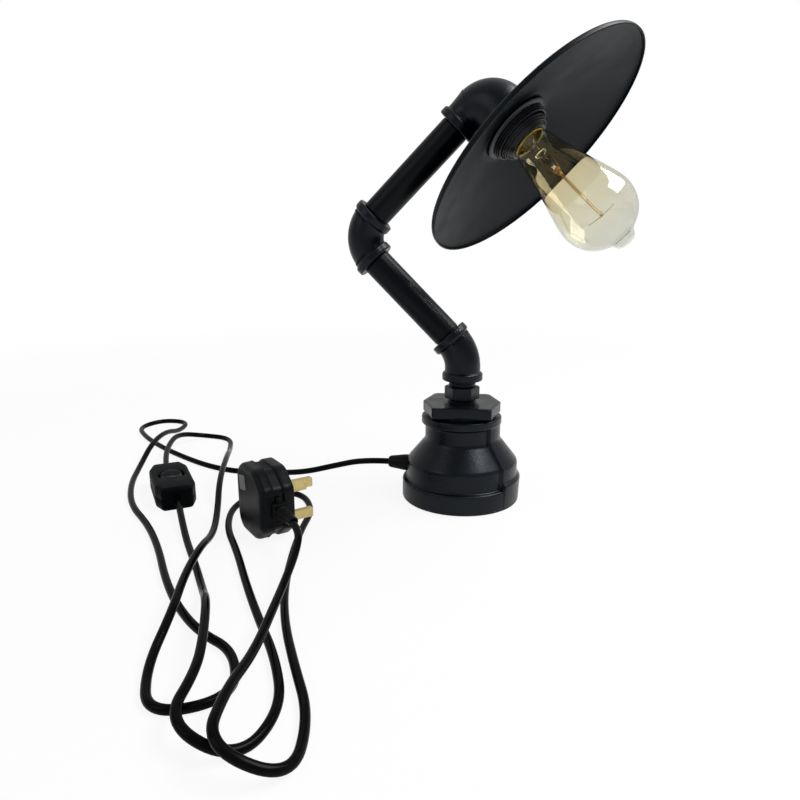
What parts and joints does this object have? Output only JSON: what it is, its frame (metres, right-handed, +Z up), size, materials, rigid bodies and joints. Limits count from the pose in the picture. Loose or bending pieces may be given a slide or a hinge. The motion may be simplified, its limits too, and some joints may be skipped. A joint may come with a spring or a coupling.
{
  "type": "table lamp",
  "caption": "Table lamp of black pipe fittings: a reducing socket base, two swivelling pipe arms, a flat metal shade, a long filament bulb, and a cord with switch and plug.",
  "frame": {"origin": "middle of the base's foot, on the surface it stands on", "axes": "+Z up; the arm's pipes lie in the XZ plane, the first leaning towards -X; the cord leaves the base along -X"},
  "size_m": [0.4781, 0.467, 0.3268],
  "materials": {
    "casting": "black paint over a fine cast texture, satin",
    "pipe": "satin black",
    "plate": "satin black sheet",
    "felt": "matte foot pad",
    "screw": "zinc plated",
    "block": "matte white",
    "grip": "semi-matte black",
    "holder": "moulded black",
    "ceramic": "glazed white",
    "brass": "satin",
    "shade": "satin charcoal enamel",
    "glass": "clear with an amber tint",
    "cap": "satin",
    "insulator": "black vitrite",
    "solder": "dull",
    "stem_glass": "clear",
    "filament": "fine golden wire",
    "support_wire": "fine wire",
    "cord": "smooth black PVC",
    "lead": "white sleeve",
    "switch_case": "fine matte black",
    "rocker": "black",
    "plug_case": "semi-matte black",
    "pin": "satin brass"
  },
  "bodies": {
    "base": {"reducing_socket": "casting", "reducing_bush": "casting", "hex_nipple": "casting", "base_plate": "plate", "foot_pad": "felt", "earth_screw": "screw", "terminal_block": "block", "terminal_screws": "screw", "cord_grip": "grip", "grip_nut": "grip", "base_lead": "cord", "riser_lead": "lead", "lamp_cord": "cord", "plug_cord": "cord", "switch_base": "switch_case", "switch_cover": "switch_case", "rocker_pin": "screw", "switch_stub_in": "cord", "switch_stub_out": "cord", "switch_terminals": "brass", "plug_base": "plug_case", "plug_cover": "plug_case", "earth_pin": "pin", "line_pin": "pin", "neutral_pin": "pin", "plug_screw": "screw", "plug_fuse": "ceramic", "plug_relief": "grip", "plug_stub": "cord"},
    "lower_arm": {"lower_elbow": "casting", "lower_pipe": "pipe", "lower_lead": "lead"},
    "upper_arm": {"middle_elbow": "casting", "upper_pipe": "pipe", "upper_lead": "lead"},
    "head": {"head_elbow": "casting", "lampholder_body": "holder", "holder_insert": "ceramic", "centre_contact": "brass", "screw_shell": "brass", "shade": "shade", "shade_ring": "holder", "head_lead": "lead"},
    "bulb": {"bulb_glass": "glass", "bulb_cap": "cap", "cap_insulator": "insulator", "cap_contact": "solder", "bulb_stem": "stem_glass", "filament": "filament", "filament_supports": "support_wire"},
    "rocker_key": {"rocker": "rocker"}
  },
  "joints": [
    {"name": "arm_swivel", "type": "hinge", "parent": "base", "child": "lower_arm", "pos_m": [0, 0, 0.0942], "axis": [0, 0, 1], "range_deg": [-150, 150]},
    {"name": "upper_arm_swivel", "type": "hinge", "parent": "lower_arm", "child": "upper_arm", "pos_m": [0, 0, 0.1162], "axis": [-0.7071, 0, 0.7071], "range_deg": [-90, 90]},
    {"name": "head_swivel", "type": "hinge", "parent": "upper_arm", "child": "head", "pos_m": [-0.08443, 0, 0.20063], "axis": [0.7071, 0, 0.7071], "range_deg": [-75, 90]},
    {"name": "bulb_unscrew", "type": "slide", "parent": "head", "child": "bulb", "axis": [0.6855, -0.2453, -0.6855], "range_m": [0, 0.028]},
    {"name": "rocker_tilt", "type": "hinge", "parent": "base", "child": "rocker_key", "pos_m": [-0.225, -0.048, 0.0118], "axis": [0.8, 0.6, 0], "range_deg": [-18, 0]}
  ]
}
